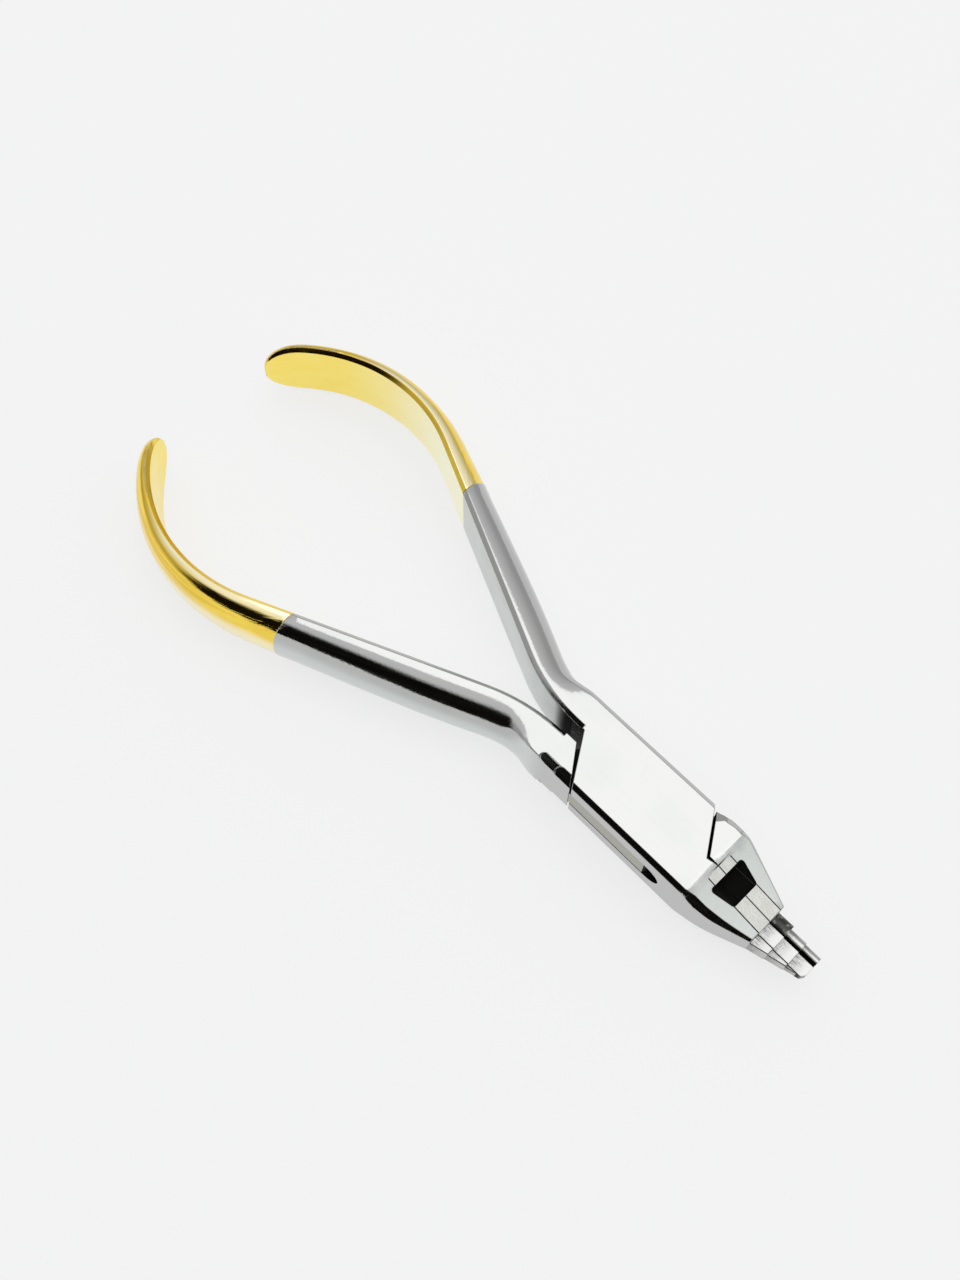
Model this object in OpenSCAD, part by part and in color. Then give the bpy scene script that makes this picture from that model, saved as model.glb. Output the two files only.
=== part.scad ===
// Box-joint pliers with carbide tipped stepped beaks and gold plated handle ends.
// Frame: origin on the joint's underside at the pivot's axis, +X to the tips,
// +Y to the box lever's handle, +Z up. The tool lies flat with its jaws closed.

/* [Joint] */
// Half of the thickness of the joint and jaws
half_t = 4.9; // [4.2:0.1:5.5]
// Half of the width of the joint across its side faces
half_w = 6.47; // [6:0.01:7]
// Leg of the 45 degree bevel along the joint's long edges
bevel = 0.75; // [0.3:0.05:1]
// Slant of the joint's front and back edges, from square across
slant = 33; // [28:1:36]
// Pivot to the slanted edges of the box cheeks
cheek_d = 10.0; // [9.8:0.05:10.1]
// Pivot to the slanted back of the tongue lever's jaw
jaw_back_d = 10.35; // [10.3:0.05:10.5]
// Gap behind the box at the inner and outer ends of the tongue lever's shoulder
shoulder_gap = [0.67, 0.25];
// Half of the height of the slot through the box
slot_h = 1.8; // [1.5:0.05:2.2]
// Half of the thickness of the tongue in that slot
tongue_h = 1.75; // [1.45:0.05:2.15]
// Radius of the pivot rivet
rivet_r = 2.2; // [1.8:0.1:2.5]
// Radius of the rivet's countersunk heads where they lie flush
rivet_head_r = 3.1; // [2.6:0.1:3.4]

/* [Jaws] */
// Front faces of the jaws, where the beaks start
jaw_x = 23.8; // [22:0.1:25]
// Back ends of the carbide inserts
insert_x = 14.05; // [13.5:0.05:14.5]
// Width of each insert from the parting line
insert_w = 2.2; // [1.8:0.1:2.4]
// Thickness of the brazing alloy beside each insert
braze_t = 0.1; // [0.05:0.01:0.15]
// Radius of the shallow arc that the top and bottom of the jaws are ground to
relief_r = 107; // [90:1:140]
// Where that arc leaves the flat of the joint
relief_x = 13.2; // [12.6:0.1:13.6]
// Length of each beak step
step_len = 2.7; // [2:0.1:3]
// Half heights of the hollow beak's three steps, from the jaw to the tip
hollow_h = [1.62, 1.22, 0.8];
// Radii of the round beak's three steps, from the jaw to the tip
round_r = [1.5, 1.0, 0.8];
// Distance of the round beak's centre line from the parting line
round_y = 1.05; // [1:0.01:1.2]
// Half gap between the closed jaws
seam = 0.03; // [0.02:0.01:0.05]

/* [Handles] */
// Half gap between the inner faces of the handles behind the joint
crotch_y = 1.08; // [0.9:0.02:1.3]
// Angle between a handle's straight length and the centre line
splay = 24.5; // [23:0.5:26]
// Radius of the inner face from the joint into the straight length
crotch_r = 30; // [24:0.1:34]
// Radius of the inner face around the bow at the handle's end
bow_r = 27.4; // [24:0.1:30]
// Place along the tool of the bow's centre
bow_x = -74.2; // [-78:0.1:-70]
// Angle around the bow from its crest to the handle's tip
tip_angle = 55.5; // [48:0.5:58]
// Bevel between a handle's inner face and its top or bottom
grip_bevel = 0.65; // [0.4:0.05:0.8]
// Handle thickness at places along the tool: [x, thickness]
grip_t = [[-100, 2.7], [-90, 3.1], [-80, 3.5], [-68, 3.8], [-55, 4.75], [-40, 5.5], [-32, 5.75], [-25, 5.6], [-13, 5.39]];
// Half of the handle's height at places along the tool: [x, half height]
grip_h = [[-100, 5.3], [-90, 5.5], [-80, 5.8], [-66, 5.9], [-50, 5.7], [-33, 5.5], [-22, 5.15], [-15, 4.9], [-13, 4.9]];
// Places along the tool where the gold plating ends, on the box lever and on the tongue lever
plating_x = [-53.5, -55.5];

/* [Hidden] */
$fn = 64;

steel = "gainsboro";
carbide = "darkgray";
gold = "goldenrod";
alloy = "dimgray";

// Running clearances
rivet_fit = 0.01;
tongue_bore_fit = 0.05;
side_fit = 0.05;

root_x = -13;
tongue_y = half_w - side_fit;
rivet_head_depth = rivet_head_r - rivet_r;
tip_x = jaw_x + 3 * step_len;
beak_x = [jaw_x, jaw_x + step_len, jaw_x + 2 * step_len];

// Slot ends: the line along each milled slot end starts at the side face
slot_end_x = 7.0;
slot_end_dir = [5.0, half_w - seam];
slot_end_len = 5.2;
slot_end_angle = atan2(slot_end_dir[1], slot_end_dir[0]);
tongue_end_gap = 0.5;

// Outer edges of the jaws in plan
box_jaw_start = 13.6;
box_jaw_r = 18;
box_jaw_turn = 19;
box_jaw_front = 4.0;
box_tip_y = 2.15;
box_tip_back = 0.4;
box_tip_corner = 0.6;
tongue_jaw_start = 12.3;
tongue_jaw_r = 10;
tongue_jaw_turn = 19.4;
tongue_jaw_front = 3.05;
tongue_corner = [11, 0.65];

// Facets along the jaws' outer edges: [place along the tool, drop, width]
box_facet = [[13, 0.75, 0.75], [14.6, 1.15, 1.15], [16.5, 1.05, 1.05], [19.4, 0.85, 0.85], [23.85, 0.5, 0.5]];
tongue_facet = [[7.5, 0.75, 2.6], [9.2, 0.75, 2.0], [10.8, 0.75, 1.0], [12.3, 0.75, 0.85], [14.4, 0.4, 0.4], [23.85, 0.2, 0.2]];

// Facets on the tongue lever's shoulder: [place along the tool, radius, tilt, drop, inset]
shoulder_facet = [[-13.65, 0.72, 33.3, 0.45, 0.6], [-10.4, 1.0, 38, 0.8, 0.65]];

// Cutter window across the jaws
window_x = [15.45, 19.25];
window_y = [3.3, 2.35];
window_r = 3.4;
window_corner = 0.5;
window_centre = 17.1;
cutter_land = 0.3;
cutter_rise = 1.15;

// Place on a slanted edge at distance d from the pivot, in front of it or behind it
function front_x(d, y) = (d - y * sin(slant)) / cos(slant);
function back_x(d, y) = -(d + y * sin(slant)) / cos(slant);

// Points of an arc that leaves the line y = side at x = start and turns inward
function jaw_arc(start, side, r, turn, steps) =
    [for (i = [0 : steps]) let (a = turn * i / steps) [start + r * sin(a), side - r * (1 - cos(a))]];
function flip(points) = [for (p = points) [p[0], -p[1]]];
// Back edge of the tongue lever's shoulder, whose gap narrows outward
function shoulder_x(y) = back_x(
    cheek_d + shoulder_gap[0] + (shoulder_gap[1] - shoulder_gap[0]) * (-y - crotch_y) / (half_w - crotch_y), y
);

box_jaw_edge = concat(
    jaw_arc(box_jaw_start, half_w, box_jaw_r, box_jaw_turn, 6),
    [[jaw_x, box_jaw_front]]
);
tongue_jaw_edge = concat(
    [[front_x(jaw_back_d, half_w - tongue_corner[1]), half_w - tongue_corner[1]], [tongue_corner[0], half_w]],
    jaw_arc(tongue_jaw_start, half_w, tongue_jaw_r, tongue_jaw_turn, 5),
    [[jaw_x, tongue_jaw_front]]
);

// Height of the jaws' ground top above the middle plane
relief_slope = 0.287;
relief_centre_x = relief_x + relief_slope * relief_r;
relief_centre_z = half_t + sqrt(1 - relief_slope * relief_slope) * relief_r;
function jaw_top(x) = x < relief_x ? half_t : relief_centre_z - sqrt(pow(relief_r, 2) - pow(relief_centre_x - x, 2));

// ---- Handles: a section swept along the inner face ----
crotch_x = root_x - 1.6;
straight_start = [crotch_x - crotch_r * sin(splay), crotch_y + crotch_r * (1 - cos(splay))];
bow_y = straight_start[1] + tan(splay) * (straight_start[0] - bow_x) - bow_r / cos(splay);
bow_start = [bow_x + bow_r * sin(splay), bow_y + bow_r * cos(splay)];
tip_round = 15;
tip_last = 0.985;
shank_edge = 0.12;

// A station is [x, y, heading, height factor]; the outward normal is [sin h, cos h]
function on_crotch(a) = [crotch_x - crotch_r * sin(a), crotch_y + crotch_r * (1 - cos(a)), a, 1];
function on_straight(x) = [x, bow_start[1] + tan(splay) * (bow_start[0] - x), splay, 1];
function on_bow(a) = let (e = max(0, (a - tip_angle + tip_round) / tip_round) * tip_last)
    [bow_x - bow_r * sin(a), bow_y + bow_r * cos(a), -a, pow(1 - pow(e, 2.2), 1 / 2.2)];

function shank_stations(end) = concat(
    [[root_x + 1, crotch_y, 0, 1], [root_x, crotch_y, 0, 1], [crotch_x, crotch_y, 0, 1]],
    [for (a = [splay / 6 : splay / 6 : splay]) on_crotch(a)],
    [for (x = [-29, -34, -40, -46, -51]) on_straight(x)],
    [on_straight(end)]
);
function gold_stations(start) = concat(
    [on_straight(start), on_straight(-59)],
    [for (a = [-splay : 6.5 : tip_angle - tip_round]) on_bow(a)],
    [for (e = [0.15, 0.35, 0.55, 0.72, 0.86, 0.95, 1]) on_bow(tip_angle - tip_round * (1 - e))]
);

// Share of the box-like section: all of it at the joint, none from the straight length on
function boxy(x) = let (k = min(1, max(0, (x + 23.5) / 8.5))) k * k * (3 - 2 * k);

// Outer quarter of the section, from the top of the bevel to the middle of the outer face
function oval(a, t, h, b) = [b + (t - b) * sin(a), h * cos(a)];
function chamfered(a, t, h, b, c) =
    a <= 30 ? [b + (t - c - b) * a / 30, h] :
    a <= 45 ? [t - c + c * (a - 30) / 15, h - c * (a - 30) / 15] :
    [t, (h - c) * (90 - a) / 45];
quarter = [0, 10, 20, 30, 37.5, 45, 56, 67, 78, 90];
function outer(t, h, b, m, c) = [for (a = quarter) (1 - m) * oval(a, t, h, b) + m * chamfered(a, t, h, b, c)];
function section(t, h, b, m, c) = let (q = outer(t, h, b, m, c)) concat(
    [[0, b - h], [0, h - b]], q, [for (i = [len(q) - 2 : -1 : 0]) [q[i][0], -q[i][1]]]
);

// Rings stand square to the handle, apart from the one at the plating's edge
function ring(s, c, plating) = let (
    dir = s[0] == plating ? [0, 1 / cos(s[2])] : [sin(s[2]), cos(s[2])],
    t = lookup(s[0], grip_t) * pow(s[3], 0.6)
) [for (p = section(t, lookup(s[0], grip_h) * s[3], grip_bevel * s[3], boxy(s[0]), c))
    [s[0] + p[0] * dir[0], s[1] + p[0] * dir[1], p[1]]];

// c is the bevel of the outer edges where the section is box-like
module sweep(stations, c, plating) {
    rings = [for (s = stations) ring(s, c, plating)];
    n = len(rings[0]);
    last = len(rings) - 1;
    sides = [for (k = [0 : last - 1]) for (i = [0 : n - 1]) let (j = (i + 1) % n)
        [k * n + i, (k + 1) * n + i, (k + 1) * n + j, k * n + j]];
    caps = [[for (i = [0 : n - 1]) i], [for (i = [n - 1 : -1 : 0]) last * n + i]];
    polyhedron(points = [for (r = rings) for (p = r) p], faces = concat(sides, caps));
}

module plate(points, half) {
    linear_extrude(height = 2 * half, center = true) polygon(points);
}

// Every piece is drawn about its middle plane, then lifted to lie on z = 0
module lying() {
    translate([0, 0, half_t]) children();
}

module both_sides() {
    children();
    mirror([0, 0, 1]) children();
}

// ---- Cuts shared by the pieces ----
// 45 degree bevel along one side of the joint, from x0 to x1
module edge_bevel(side, x0, x1) {
    cut = 4;
    both_sides() translate([x0, side * half_w, half_t - bevel]) rotate([side * 45, 0, 0])
        translate([0, side > 0 ? 0 : -cut, -cut / 2]) cube([x1 - x0, cut, 2 * cut]);
}

// Facet along a jaw's outer edge on the +Y side
module jaw_facet(edge, facet) {
    reach = 0.6;
    depth = 3;
    rings = [for (f = facet) let (
        side = [lookup(f[0], edge), jaw_top(f[0]) - f[1]],
        along = [f[2], -f[1]] / norm([f[2], f[1]]),
        top = side - along * (norm([f[2], f[1]]) + reach),
        bottom = side + along * reach,
        out = [-along[1], along[0]] * depth
    ) [for (p = [bottom, bottom + out, top + out, top]) [f[0], p[0], p[1]]]];
    last = len(rings) - 1;
    sides = [for (k = [0 : last - 1]) for (i = [0 : 3]) let (j = (i + 1) % 4)
        [k * 4 + j, (k + 1) * 4 + j, (k + 1) * 4 + i, k * 4 + i]];
    polyhedron(
        points = [for (r = rings) for (p = r) p],
        faces = concat(sides, [[0, 1, 2, 3], [last * 4 + 3, last * 4 + 2, last * 4 + 1, last * 4]])
    );
}

// Two facets milled on the tongue lever's outer shoulder, each with a round start
module shoulder_facets() {
    both_sides() for (f = shoulder_facet)
        translate([f[0], -(half_w - f[4]), half_t - f[3]]) rotate([f[2], 0, 0]) {
            cylinder(r = f[1], h = 3);
            translate([0, -f[1], 0]) cube([6, 2 * f[1], 3]);
        }
}

// Everything above the arc that the jaws' top and bottom are ground to
module jaw_relief() {
    both_sides() intersection() {
        translate([relief_centre_x, 0, relief_centre_z]) rotate([90, 0, 0])
            cylinder(r = relief_r, h = 20, center = true, $fn = 400);
        translate([relief_x, -10, 0]) cube([tip_x, 20, half_t + 1]);
    }
}

// The cutter window, sunk from top and bottom down to the cutting edges
module cutter_window() {
    both_sides() intersection() {
        linear_extrude(height = half_t + 1) offset(r = window_corner) offset(delta = -window_corner)
            intersection() {
                polygon([
                    [window_x[0], -window_y[0]], [window_x[1], -window_y[1]],
                    [window_x[1], window_y[1]], [window_x[0], window_y[0]]
                ]);
                translate([window_centre, 0]) circle(r = window_r);
            }
        rotate([90, 0, 90]) linear_extrude(height = tip_x) polygon([
            [0, cutter_land], [window_r + 1, cutter_land + cutter_rise * (window_r + 1)],
            [window_r + 1, 2 * half_t], [-window_r - 1, 2 * half_t],
            [-window_r - 1, cutter_land + cutter_rise * (window_r + 1)]
        ]);
    }
}

// Stepped heights of the hollow beak
module hollow_steps() {
    for (i = [0 : 2]) translate([beak_x[i] - 0.01, -10, -hollow_h[i]]) cube([step_len + 0.01, 20, 2 * hollow_h[i]]);
}

// Stepped round of the round beak
module round_steps() {
    for (i = [0 : 2]) translate([beak_x[i] - 0.01, round_y, 0]) rotate([0, 90, 0])
        cylinder(r = round_r[i], h = step_len + 0.01);
}

// Room in the hollow beak for the widest round step
module round_room() {
    translate([jaw_x - 0.05, round_y, 0]) rotate([0, 90, 0])
        cylinder(r = round_r[0] + 0.08, h = step_len + 0.15);
}

// Long box that holds one insert's width, from y0 outward to y1
module insert_bar(x0, y0, y1) {
    translate([x0, y0, -half_t - 1]) cube([tip_x - x0 + 1, y1 - y0, 2 * half_t + 2]);
}

// Space of the tongue in the box, with milled round ends
module slot_space() {
    ux = slot_end_dir[0] / norm(slot_end_dir);
    uy = slot_end_dir[1] / norm(slot_end_dir);
    out = 3;
    front = [slot_end_x + slot_end_dir[0], -seam];
    plate([
        [slot_end_x - out * ux, -half_w - out * uy], front, [front[0], 12],
        [-slot_end_x + out * ux, half_w + out * uy], -front, [-front[0], -12]
    ], slot_h);
    for (turn = [0, 180]) rotate([0, 0, turn])
        translate([slot_end_x, -half_w, 0]) rotate([0, 0, slot_end_angle]) translate([-1, 0, 0]) rotate([0, 90, 0])
            cylinder(r = slot_h, h = slot_end_len);
}

module rivet_shape(fit) {
    cylinder(r = rivet_r + fit, h = 2 * half_t, center = true);
    both_sides() translate([0, 0, half_t - rivet_head_depth])
        cylinder(r1 = rivet_r + fit, r2 = rivet_head_r + fit, h = rivet_head_depth);
}

// ---- Pieces ----
module box_plan() {
    plate(concat(
        [[root_x, crotch_y], [back_x(cheek_d, crotch_y), crotch_y], [back_x(cheek_d, -half_w), -half_w]],
        flip(box_jaw_edge),
        [[jaw_x, -seam], [insert_x, -seam], [front_x(cheek_d, -0.42), -0.42],
        [front_x(cheek_d, half_w), half_w], [root_x, half_w]]
    ), half_t);
}

// Body of the hollow beak, outside its insert
module hollow_beak_plan() {
    plate([
        [jaw_x - 0.5, -box_jaw_front], [jaw_x, -box_jaw_front], [tip_x - box_tip_back, -box_tip_y],
        [tip_x, -box_tip_y + box_tip_corner], [tip_x, -seam], [jaw_x - 0.5, -seam]
    ], half_t);
}

module box_lever() {
    color(steel) lying() difference() {
        union() {
            difference() {
                box_plan();
                jaw_relief();
            }
            intersection() {
                hollow_beak_plan();
                hollow_steps();
            }
            sweep(shank_stations(plating_x[0]), bevel, plating_x[0]);
        }
        slot_space();
        rivet_shape(rivet_fit);
        edge_bevel(-1, root_x, box_facet[0][0] + 0.3);
        edge_bevel(1, root_x, jaw_x);
        both_sides() mirror([0, 1, 0]) jaw_facet(concat([[0, half_w]], box_jaw_edge), box_facet);
        insert_bar(insert_x - braze_t, -insert_w - braze_t, 1);
        cutter_window();
    }
}

module tongue_lever() {
    color(steel) lying() difference() {
        union() {
            plate([
                [slot_end_x - tongue_end_gap, -tongue_y], [slot_end_x + slot_end_dir[0] - tongue_end_gap, seam],
                [13, seam], [13, 5], [8.6, 5.9], [7.6, tongue_y],
                [-slot_end_x + tongue_end_gap, tongue_y], [-slot_end_x - slot_end_dir[0] + tongue_end_gap, -seam],
                [shoulder_x(-crotch_y) - 0.2, -crotch_y], [root_x - 1, -crotch_y], [root_x - 1, -tongue_y]
            ], tongue_h);
            difference() {
                plate(concat([[front_x(jaw_back_d, seam), seam]], tongue_jaw_edge, [[jaw_x, seam]]), half_t);
                jaw_relief();
            }
            intersection() {
                round_steps();
                insert_bar(jaw_x - 0.01, insert_w + braze_t, half_w);
            }
            plate([
                [root_x - 1, -crotch_y], [shoulder_x(-crotch_y), -crotch_y],
                [shoulder_x(-half_w), -half_w], [root_x - 1, -half_w]
            ], half_t);
            mirror([0, 1, 0]) sweep(shank_stations(plating_x[1]), shank_edge, plating_x[1]);
        }
        cylinder(r = rivet_r + tongue_bore_fit, h = 4 * tongue_h, center = true);
        both_sides() jaw_facet(tongue_jaw_edge, tongue_facet);
        shoulder_facets();
        insert_bar(insert_x - braze_t, -1, insert_w + braze_t);
        cutter_window();
    }
}

module pivot_rivet() {
    color(steel) lying() rivet_shape(0);
}

module box_lever_gold_handle() {
    color(gold) lying() sweep(gold_stations(plating_x[0]), bevel, plating_x[0]);
}

module tongue_lever_gold_handle() {
    color(gold) lying() mirror([0, 1, 0]) sweep(gold_stations(plating_x[1]), bevel, plating_x[1]);
}

// Bar along the parting line from x0 to the jaw's front face, ground with the jaws
module jaw_bar(x0, y0, y1) {
    difference() {
        translate([x0, y0, -half_t]) cube([jaw_x - x0, y1 - y0, 2 * half_t]);
        jaw_relief();
    }
}

// The hollow beak between y0 and y1, within the jaw's outline
module hollow_part(x0, y0, y1) {
    difference() {
        union() {
            jaw_bar(x0, y0, y1);
            intersection() {
                hollow_beak_plan();
                hollow_steps();
                translate([jaw_x - 0.005, y0, -half_t]) cube([tip_x, y1 - y0, 2 * half_t]);
            }
        }
        round_room();
        cutter_window();
    }
}

module hollow_beak_insert() {
    color(carbide) lying() hollow_part(insert_x, -insert_w, -seam);
}

module hollow_insert_braze() {
    color(alloy) lying() {
        hollow_part(insert_x - braze_t, -insert_w - braze_t, -insert_w);
        jaw_end(-insert_w, -seam);
    }
}

// Braze behind the end of an insert
module jaw_end(y0, y1) {
    difference() {
        translate([insert_x - braze_t, y0, -half_t]) cube([braze_t, y1 - y0, 2 * half_t]);
        jaw_relief();
    }
}

module round_beak_insert() {
    color(carbide) lying() {
        difference() {
            jaw_bar(insert_x, seam, insert_w);
            cutter_window();
        }
        intersection() {
            round_steps();
            insert_bar(jaw_x - 0.005, -insert_w, insert_w);
        }
    }
}

module round_insert_braze() {
    color(alloy) lying() {
        difference() {
            jaw_bar(insert_x - braze_t, insert_w, insert_w + braze_t);
            cutter_window();
        }
        intersection() {
            round_steps();
            insert_bar(jaw_x - 0.005, insert_w, insert_w + braze_t);
        }
        jaw_end(seam, insert_w);
    }
}

box_lever();
tongue_lever();
pivot_rivet();
box_lever_gold_handle();
tongue_lever_gold_handle();
hollow_beak_insert();
round_beak_insert();
hollow_insert_braze();
round_insert_braze();
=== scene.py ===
import math

import bmesh
import bpy
import numpy as np
from mathutils import Matrix, Vector


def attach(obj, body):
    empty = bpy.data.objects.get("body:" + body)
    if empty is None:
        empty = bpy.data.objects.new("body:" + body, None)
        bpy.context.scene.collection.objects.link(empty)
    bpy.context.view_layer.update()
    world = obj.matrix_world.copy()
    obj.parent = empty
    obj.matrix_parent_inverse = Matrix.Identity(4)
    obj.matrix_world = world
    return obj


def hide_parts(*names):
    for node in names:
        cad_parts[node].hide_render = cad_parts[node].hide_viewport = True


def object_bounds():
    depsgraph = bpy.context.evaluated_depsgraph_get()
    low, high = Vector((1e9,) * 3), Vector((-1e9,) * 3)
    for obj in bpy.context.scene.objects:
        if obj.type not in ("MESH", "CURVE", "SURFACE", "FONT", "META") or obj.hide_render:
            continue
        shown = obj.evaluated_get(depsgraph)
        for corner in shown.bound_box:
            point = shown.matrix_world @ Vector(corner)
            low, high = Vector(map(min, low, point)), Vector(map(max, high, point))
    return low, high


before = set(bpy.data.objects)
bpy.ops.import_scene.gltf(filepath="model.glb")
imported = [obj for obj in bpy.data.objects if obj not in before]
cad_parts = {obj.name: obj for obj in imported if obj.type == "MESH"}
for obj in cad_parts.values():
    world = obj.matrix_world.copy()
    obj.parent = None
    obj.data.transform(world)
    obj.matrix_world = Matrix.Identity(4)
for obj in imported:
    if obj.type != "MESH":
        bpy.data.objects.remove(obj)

CAD_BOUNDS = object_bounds()
MM = 0.001

# ---- Dimensions in millimetres, as the CAD model has them ----
# Joint: half its thickness and width, its edge bevel, and the slanted shoulders' angle and distance
HALF_T = 4.9
HALF_W = 6.47
JOINT_BEVEL = 0.75
SLANT = math.radians(33)
CHEEK_D = 10.0
SLOT_H = 1.8
ROOT_X = -13.0
# Handles: the bend behind the joint, the straight splayed length and the bow
CROTCH_Y = 1.08
CROTCH_BACK = 1.6
CROTCH_R = 30.0
SPLAY = math.radians(24.5)
BOW_R = 27.4
BOW_X = -74.2
# Rounded end of the bow: where it ends, over which angle, how far it closes, and its shape
TIP_ANGLE = math.radians(55.5)
TIP_ROUND = math.radians(15)
TIP_LAST = 0.985
TIP_POWER = 2.2
TIP_THINNING = 0.6
GRIP_BEVEL = 0.65
SHANK_EDGE = 0.12
# The section turns box-like between these places
BOXY_X = (-23.5, -15.0)
# Thickness across and half height of the handles, by place along the tool
GRIP_T = (
    (-100, 2.7), (-90, 3.1), (-80, 3.5), (-68, 3.8), (-55, 4.75),
    (-40, 5.5), (-32, 5.75), (-25, 5.6), (-13, 5.39)
)
GRIP_H = (
    (-100, 5.3), (-90, 5.5), (-80, 5.8), (-66, 5.9), (-50, 5.7),
    (-33, 5.5), (-22, 5.15), (-15, 4.9), (-13, 4.9)
)
# The tables' corners are averaged over this length, from this place back
SMOOTH_REACH = 5.0
SMOOTH_X = -16.0
# Where the plating starts, on the box lever and on the tongue lever
PLATING_X = (-53.5, -55.5)
# Jaws: the arc they are ground to, and the rounding of the crease where it starts
RELIEF_X = 13.2
RELIEF_R = 107.0
RELIEF_SLOPE = 0.287
RELIEF_ROUND = 0.72
# Beaks: where their steps start, how long each is, and how much lower the hollow beak gets with each
JAW_X = 23.8
STEP_LEN = 2.7
STEP_DROP = 0.41
HOLLOW_H = 1.62
# Cutter window: its ends, its half width at each, and the circle that trims it
WINDOW_X = (15.45, 19.25)
WINDOW_Y = (3.3, 2.35)
WINDOW_R = 3.4
WINDOW_CENTRE = 17.1

# ---- Finish of the visual model, in millimetres ----
# Nothing is rounded, worn or given a painted edge highlight within this distance of the pivot: the rivet's
# heads are ground flush
RIVET_KEEP = 3.6
EDGE_ROUND = 0.09
INSERT_ROUND = 0.05
# The length of the tongue's side that shows in the slot
TONGUE_SEEN = (-7.9, 8.0)
# The CAD node's mesh ends at the first, and the finely swept shank starts at the second
JOIN_X = -14.9
SHANK_START = -16.2
# Longest steps between the swept stations, straight and in radians
STEP_STRAIGHT = 0.9
STEP_CROTCH = 0.02
STEP_BOW = 0.025
STEP_TIP = 0.055
# Tolerances for cutting and for welding the CAD meshes
CUT_SLACK = 0.0001
WELD = 0.0005

# ---- Camera: distance and target in millimetres ----
CAMERA_DISTANCE = 198.57
CAMERA_ELEVATION = math.radians(63.63)
CAMERA_AZIMUTH = math.radians(46.23)
CAMERA_TARGET = Vector((-35.22, 2.05, 2 * HALF_T - 5.4))
CAMERA_LENS = 36.58
CAMERA_SENSOR = 36

# ---- Colours ----
STEEL = (0.50, 0.505, 0.495)
STEEL_COOL = (0.482, 0.49, 0.483)
STEEL_PALE = (0.62, 0.65, 0.64)
STEEL_SATIN = (0.72, 0.745, 0.74)
STEEL_JAW = (0.64, 0.67, 0.65)
GOLD = (1.0, 0.75, 0.12)
GOLD_DEEP = (0.74, 0.47, 0.035)
GOLD_SATIN = (1.0, 0.83, 0.22)
GOLD_PALE = (1.0, 0.93, 0.66)
GOLD_CREAM = (1.0, 0.985, 0.72)
CARBIDE = (0.74, 0.74, 0.705)
CARBIDE_DARK = (0.63, 0.63, 0.60)
BLACK = (0.006, 0.006, 0.005)
# Dark colour for the braze seams' oxide, and for painted shade
SOOT_AND_SHADE = (0.03, 0.03, 0.027)
# Painted shade on the tongue's side face, seen in the slot
OLIVE = (0.36, 0.36, 0.31)
BEAK = (0.50, 0.50, 0.49)
# Painted shade on the cutter window's walls
WINDOW_SHADE = (0.055, 0.055, 0.05)
BRAZE = (0.03, 0.026, 0.02)

# Material slots of the pieces made here
MAIN, SATIN, RECESS = 0, 1, 2

# Arc that the jaws' top and bottom are ground to, about the middle plane
RELIEF_CENTRE_X = RELIEF_X + RELIEF_SLOPE * RELIEF_R
RELIEF_CENTRE_Z = HALF_T + math.sqrt(1 - RELIEF_SLOPE ** 2) * RELIEF_R


# ================= Handle sweep =================
CROTCH_X = ROOT_X - CROTCH_BACK
STRAIGHT_X = CROTCH_X - CROTCH_R * math.sin(SPLAY)
STRAIGHT_Y = CROTCH_Y + CROTCH_R * (1 - math.cos(SPLAY))
BOW_Y = STRAIGHT_Y + math.tan(SPLAY) * (STRAIGHT_X - BOW_X) - BOW_R / math.cos(SPLAY)
BOW_START_X = BOW_X + BOW_R * math.sin(SPLAY)


def on_crotch(a):
    """Station on the bend behind the joint: x, y, the handle's heading and its size factor."""
    return (CROTCH_X - CROTCH_R * math.sin(a), CROTCH_Y + CROTCH_R * (1 - math.cos(a)), a, 1.0)


def on_straight(x):
    """Station on the straight length."""
    return (x, STRAIGHT_Y + math.tan(SPLAY) * (STRAIGHT_X - x), SPLAY, 1.0)


def on_bow(a):
    """Station on the bow, closing towards the rounded tip."""
    e = max(0.0, (a - TIP_ANGLE + TIP_ROUND) / TIP_ROUND) * TIP_LAST
    factor = (1 - e ** TIP_POWER) ** (1 / TIP_POWER)
    return (BOW_X - BOW_R * math.sin(a), BOW_Y + BOW_R * math.cos(a), -a, factor)


def spread(a, b, step):
    """Even steps from a to b, both included, none longer than step."""
    n = max(1, math.ceil(abs(b - a) / step))
    return [a + (b - a) * i / n for i in range(n + 1)]


def shank_stations(plating):
    """Stations from just behind the joint to the plating's edge."""
    first = math.asin((CROTCH_X - SHANK_START) / CROTCH_R)
    bend = [on_crotch(a) for a in spread(first, SPLAY, STEP_CROTCH)]
    straight = [on_straight(x) for x in spread(STRAIGHT_X, plating, STEP_STRAIGHT)[1:]]
    return bend + straight


def gold_stations(plating):
    """Stations from the plating's edge round the bow to its tip."""
    straight = [on_straight(x) for x in spread(plating, BOW_START_X, STEP_STRAIGHT)[:-1]]
    bow = [on_bow(a) for a in spread(-SPLAY, TIP_ANGLE - TIP_ROUND, STEP_BOW)[:-1]]
    tip = [on_bow(TIP_ANGLE - TIP_ROUND * (1 - math.sin(q))) for q in spread(0, math.pi / 2, STEP_TIP)]
    return straight + bow + tip


def boxy(x):
    """Share of the box-like section: all of it at the joint, none from the straight length on."""
    k = min(1.0, max(0.0, (x - BOXY_X[0]) / (BOXY_X[1] - BOXY_X[0])))
    return k * k * (3 - 2 * k)


def outer_point(a, t, h, b, m, c):
    """Point of the outer quarter at angle a, between an oval and a chamfered box."""
    oval = (b + (t - b) * math.sin(a), h * math.cos(a))
    d = math.degrees(a)
    if d <= 30:
        box = (b + (t - c - b) * d / 30, h)
    elif d <= 45:
        box = (t - c + c * (d - 30) / 15, h - c * (d - 30) / 15)
    else:
        box = (t, (h - c) * (90 - d) / 45)
    return ((1 - m) * oval[0] + m * box[0], (1 - m) * oval[1] + m * box[1])


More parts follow.
